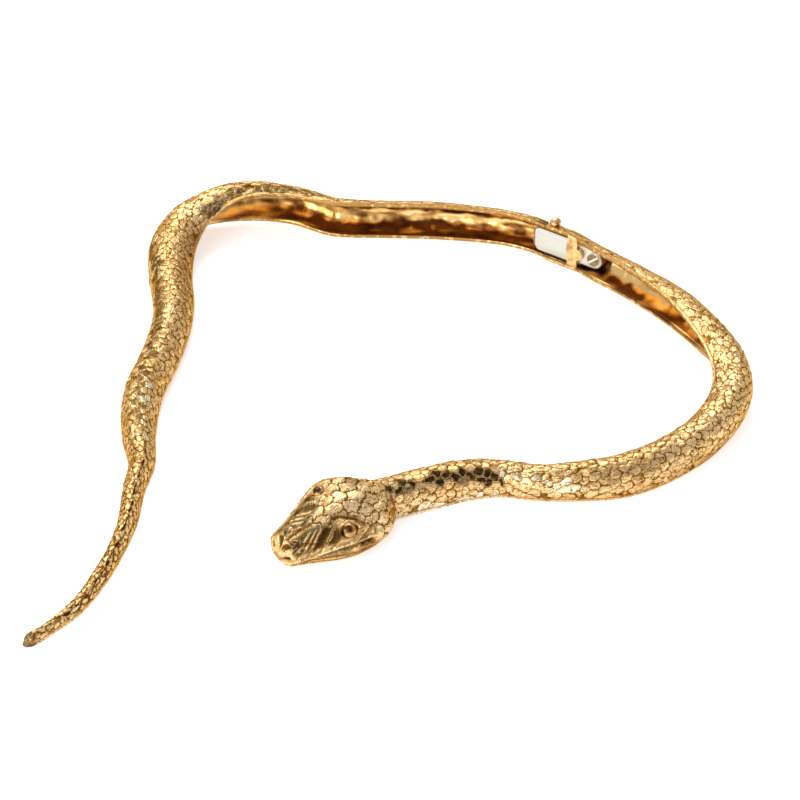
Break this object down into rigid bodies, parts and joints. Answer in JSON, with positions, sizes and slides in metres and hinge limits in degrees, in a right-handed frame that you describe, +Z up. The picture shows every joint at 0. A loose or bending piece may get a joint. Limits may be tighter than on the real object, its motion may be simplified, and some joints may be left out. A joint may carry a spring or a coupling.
{
  "type": "snake collar necklace",
  "caption": "Rigid gold snake collar: two cast, open-backed halves with raised scales, hinged at the nape with a steel leaf spring, open at the front between head and tail.",
  "frame": {"origin": "middle of the neck opening, on the plane that the collar lies on", "axes": "+Z up, away from that plane; +Y towards the hinge at the nape; +X towards the head half"},
  "size_m": [0.1549, 0.1902, 0.012],
  "materials": {
    "gold": "yellow gold, cast and chased, with dark patina in the grooves and polished rims",
    "pin_gold": "polished yellow gold",
    "spring_steel": "polished white spring steel",
    "screw_steel": "darkened steel"
  },
  "bodies": {
    "tail_side": {"tail_half": "gold"},
    "head_side": {"head_half": "gold", "hinge_pin": "pin_gold", "leaf_spring": "spring_steel", "spring_screw": "screw_steel"}
  },
  "joints": [
    {"name": "collar_hinge", "type": "hinge", "parent": "tail_side", "child": "head_side", "pos_m": [0, 0.0712, 0.0045], "axis": [0, 0, 1], "range_deg": [0, 25], "stiffness_Nm_per_rad": 0.5}
  ]
}
